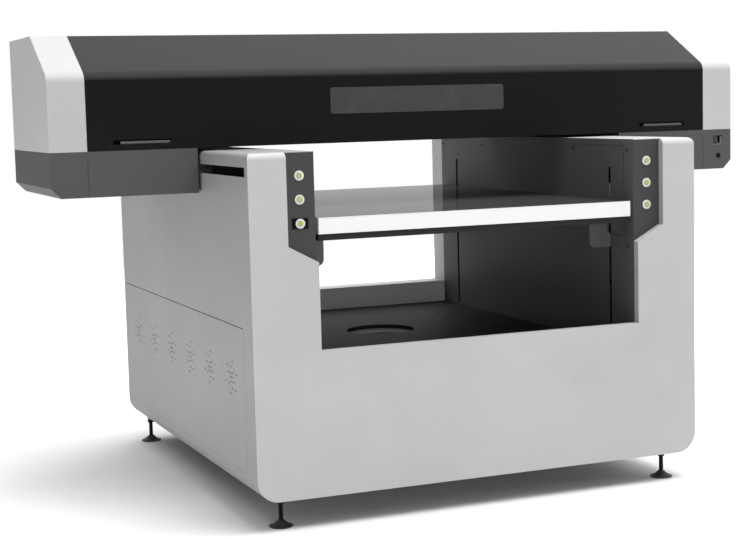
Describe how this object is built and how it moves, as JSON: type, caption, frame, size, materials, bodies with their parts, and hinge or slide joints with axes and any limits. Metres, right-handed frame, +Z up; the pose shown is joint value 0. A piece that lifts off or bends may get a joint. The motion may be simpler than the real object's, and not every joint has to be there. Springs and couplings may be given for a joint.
{
  "type": "flatbed uv printer",
  "caption": "Flatbed UV printer: U-shaped grey cabinet on levelling feet, lifting vacuum table, travelling gantry with a black lift-up hood, button columns and print carriage inside.",
  "frame": {"origin": "centre of the footprint on the ground, under the levelling feet", "axes": "+X along the gantry to the operator's right, +Y to the back, +Z up"},
  "size_m": [2.197, 1.402, 1.331],
  "materials": {
    "cover_paint": "fine textured powder coat, light grey",
    "dark_paint": "fine textured powder coat, charcoal",
    "hood_paint": "smooth satin black coat",
    "frame_paint": "satin primer grey",
    "ground_steel": "ground",
    "aluminium": "anodised",
    "tray_paint": "satin black",
    "table_white": "white coated edge",
    "table_plate": "polished grey hard coat",
    "foot_black": "satin black",
    "foot_plastic": "moulded nylon",
    "black_plastic": "moulded",
    "belt_rubber": "matt",
    "bezel_white": "gloss",
    "button_olive": "translucent gloss",
    "bronze": "machined",
    "bottle": "translucent",
    "lamp": "black anodised"
  },
  "bodies": {
    "cabinet": {"chassis_frame": "frame_paint", "front_cover": "cover_paint", "rear_cover": "cover_paint", "left_side_cover": "cover_paint", "right_side_cover": "cover_paint", "left_service_panel": "cover_paint", "right_service_panel": "cover_paint", "left_inner_wall": "dark_paint", "right_inner_wall": "dark_paint", "floor_panel": "dark_paint", "button_bezels": "bezel_white", "foot_stems": "foot_black", "foot_pads": "foot_plastic", "y_rails_and_racks": "ground_steel", "lift_motor": "black_plastic", "lift_belt": "belt_rubber", "screw_bearings": "aluminium", "vacuum_blower": "frame_paint", "electronics_box": "aluminium", "power_inlet": "black_plastic", "cover_screws": "ground_steel"},
    "table": {"table_bed": "table_white", "table_top": "table_plate", "table_tray": "tray_paint", "lift_brackets": "dark_paint", "lift_nuts": "bronze"},
    "gantry": {"gantry_beam": "aluminium", "gantry_end_frames": "frame_paint", "y_bearing_blocks": "ground_steel", "gantry_motors": "black_plastic", "left_end_cap": "cover_paint", "right_end_cap": "cover_paint", "left_lower_housing": "dark_paint", "right_lower_housing": "dark_paint", "gantry_rear_cover": "hood_paint", "x_rails": "ground_steel", "x_belt": "belt_rubber", "capping_station": "aluminium", "ink_bottles": "bottle", "hood_hinge_pins": "ground_steel"},
    "hood": {"hood_shell": "hood_paint", "hood_pulls": "aluminium"},
    "carriage": {"carriage_body": "aluminium", "print_heads": "lamp", "uv_lamps": "lamp"},
    "lift_drive_pulley": {"lift_drive_pulley": "ground_steel"},
    "left_pinion": {"left_pinion": "ground_steel"},
    "right_pinion": {"right_pinion": "ground_steel"},
    "x_drive_pulley": {"x_drive_pulley": "ground_steel"},
    "x_idler_pulley": {"x_idler_pulley": "ground_steel"},
    "lift_screw_fl": {"lift_screw_fl": "ground_steel"},
    "lift_screw_fr": {"lift_screw_fr": "ground_steel"},
    "lift_screw_rl": {"lift_screw_rl": "ground_steel"},
    "lift_screw_rr": {"lift_screw_rr": "ground_steel"},
    "button_left_top": {"button_left_top": "button_olive"},
    "button_left_middle": {"button_left_middle": "button_olive"},
    "button_left_bottom": {"button_left_bottom": "button_olive"},
    "button_right_top": {"button_right_top": "button_olive"},
    "button_right_middle": {"button_right_middle": "button_olive"},
    "button_right_bottom": {"button_right_bottom": "button_olive"}
  },
  "joints": [
    {"name": "table_lift", "type": "slide", "parent": "cabinet", "child": "table", "axis": [0, 0, 1], "range_m": [-0.26, 0.182]},
    {"name": "screw_turn_fl", "type": "hinge", "parent": "cabinet", "child": "lift_screw_fl", "pos_m": [-0.545, -0.547, 0.3], "axis": [0, 0, 1], "range_deg": [-9380, 6572]},
    {"name": "screw_turn_fr", "type": "hinge", "parent": "cabinet", "child": "lift_screw_fr", "pos_m": [0.545, -0.547, 0.3], "axis": [0, 0, 1], "range_deg": [-9380, 6572]},
    {"name": "screw_turn_rl", "type": "hinge", "parent": "cabinet", "child": "lift_screw_rl", "pos_m": [-0.545, 0.494, 0.3], "axis": [0, 0, 1], "range_deg": [-9380, 6572]},
    {"name": "screw_turn_rr", "type": "hinge", "parent": "cabinet", "child": "lift_screw_rr", "pos_m": [0.545, 0.494, 0.3], "axis": [0, 0, 1], "range_deg": [-9380, 6572]},
    {"name": "lift_motor_turn", "type": "hinge", "parent": "cabinet", "child": "lift_drive_pulley", "pos_m": [0, -0.547, 0.27], "axis": [0, 0, 1], "range_deg": [-9380, 6572]},
    {"name": "gantry_travel", "type": "slide", "parent": "cabinet", "child": "gantry", "axis": [0, 1, 0], "range_m": [-0.553, 0.645]},
    {"name": "left_pinion_turn", "type": "hinge", "parent": "gantry", "child": "left_pinion", "pos_m": [-0.59, -0.046, 0.95], "axis": [1, 0, 0], "range_deg": [-936, 804]},
    {"name": "right_pinion_turn", "type": "hinge", "parent": "gantry", "child": "right_pinion", "pos_m": [0.59, -0.046, 0.95], "axis": [1, 0, 0], "range_deg": [-936, 804]},
    {"name": "hood_lift", "type": "hinge", "parent": "gantry", "child": "hood", "pos_m": [0, 0.249, 1.3217], "axis": [-1, 0, 0], "range_deg": [0, 60]},
    {"name": "carriage_travel", "type": "slide", "parent": "gantry", "child": "carriage", "axis": [1, 0, 0], "range_m": [-1.6, 0]},
    {"name": "x_drive_turn", "type": "hinge", "parent": "gantry", "child": "x_drive_pulley", "pos_m": [-0.955, 0.099, 1.18], "axis": [0, 0, 1], "range_deg": [-4594, 10]},
    {"name": "x_idler_turn", "type": "hinge", "parent": "gantry", "child": "x_idler_pulley", "pos_m": [0.955, 0.099, 1.18], "axis": [0, 0, 1], "range_deg": [-4594, 10]},
    {"name": "press_left_top", "type": "slide", "parent": "cabinet", "child": "button_left_top", "axis": [0, 1, 0], "range_m": [0, 0.003], "stiffness_N_per_m": 600, "springref_m": -0.002},
    {"name": "press_left_middle", "type": "slide", "parent": "cabinet", "child": "button_left_middle", "axis": [0, 1, 0], "range_m": [0, 0.003], "stiffness_N_per_m": 600, "springref_m": -0.002},
    {"name": "press_left_bottom", "type": "slide", "parent": "cabinet", "child": "button_left_bottom", "axis": [0, 1, 0], "range_m": [0, 0.003], "stiffness_N_per_m": 600, "springref_m": -0.002},
    {"name": "press_right_top", "type": "slide", "parent": "cabinet", "child": "button_right_top", "axis": [0, 1, 0], "range_m": [0, 0.003], "stiffness_N_per_m": 600, "springref_m": -0.002},
    {"name": "press_right_middle", "type": "slide", "parent": "cabinet", "child": "button_right_middle", "axis": [0, 1, 0], "range_m": [0, 0.003], "stiffness_N_per_m": 600, "springref_m": -0.002},
    {"name": "press_right_bottom", "type": "slide", "parent": "cabinet", "child": "button_right_bottom", "axis": [0, 1, 0], "range_m": [0, 0.003], "stiffness_N_per_m": 600, "springref_m": -0.002}
  ],
  "couplings": [
    {"joint": "screw_turn_fl", "follows": "table_lift", "rad_per_m": 628.32},
    {"joint": "screw_turn_fr", "follows": "table_lift", "rad_per_m": 628.32},
    {"joint": "screw_turn_rl", "follows": "table_lift", "rad_per_m": 628.32},
    {"joint": "screw_turn_rr", "follows": "table_lift", "rad_per_m": 628.32},
    {"joint": "lift_motor_turn", "follows": "table_lift", "rad_per_m": 628.32},
    {"joint": "left_pinion_turn", "follows": "gantry_travel", "rad_per_m": -25.031},
    {"joint": "right_pinion_turn", "follows": "gantry_travel", "rad_per_m": -25.031},
    {"joint": "x_drive_turn", "follows": "carriage_travel", "rad_per_m": 50},
    {"joint": "x_idler_turn", "follows": "carriage_travel", "rad_per_m": 50}
  ]
}
